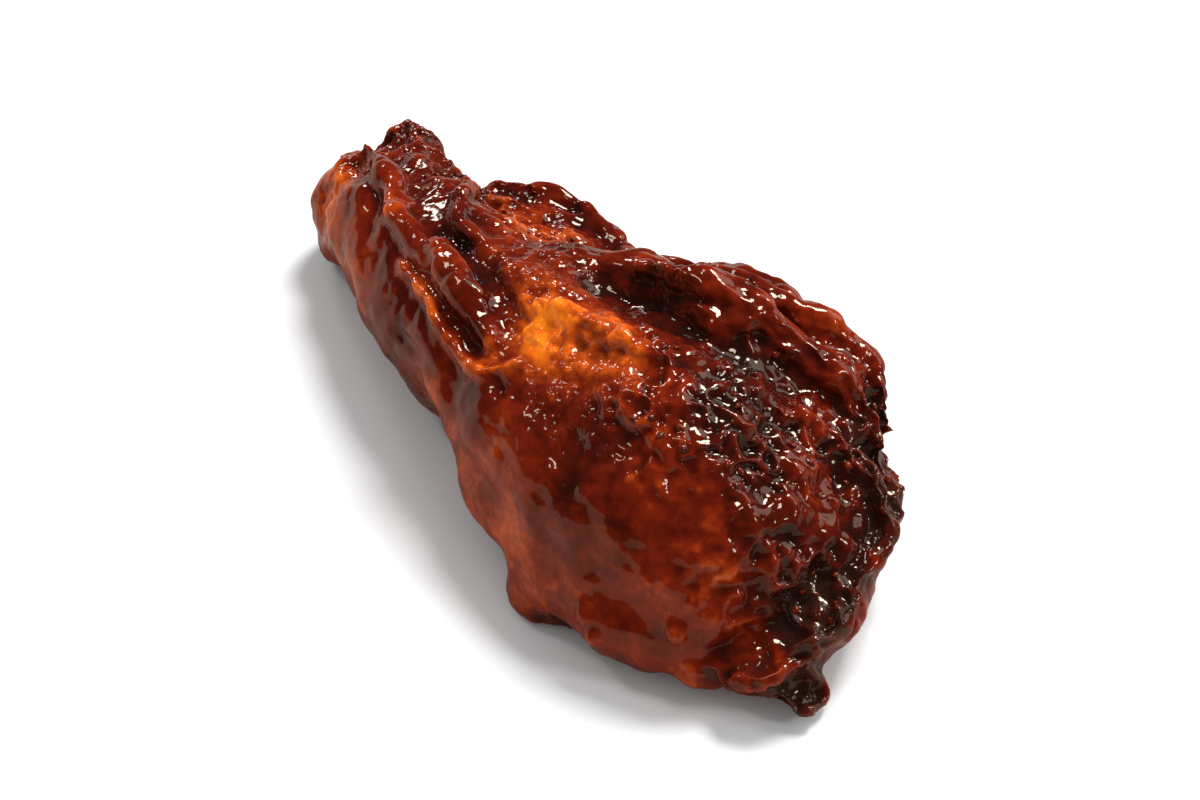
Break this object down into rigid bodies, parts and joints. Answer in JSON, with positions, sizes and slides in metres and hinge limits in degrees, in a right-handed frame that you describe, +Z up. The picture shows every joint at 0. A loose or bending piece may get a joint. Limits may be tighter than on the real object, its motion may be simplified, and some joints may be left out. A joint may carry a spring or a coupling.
{
  "type": "glazed chicken wing",
  "caption": "Fried chicken wing joint in a sticky dark glaze, with a narrow bone-end knuckle, a thick meaty end and folded skin, lying on its side on a flat underside.",
  "frame": {"origin": "middle of the wing's box, on the surface that it lies on", "axes": "+X along the bone from the knuckle to the thick end, +Y across, +Z up"},
  "size_m": [0.0926, 0.0436, 0.0281],
  "materials": {
    "glazed_skin": "fried skin under a wet mahogany glaze, golden where the glaze is thin and charred at the thick end"
  },
  "bodies": {
    "root": {"wing": "glazed_skin"}
  },
  "joints": []
}
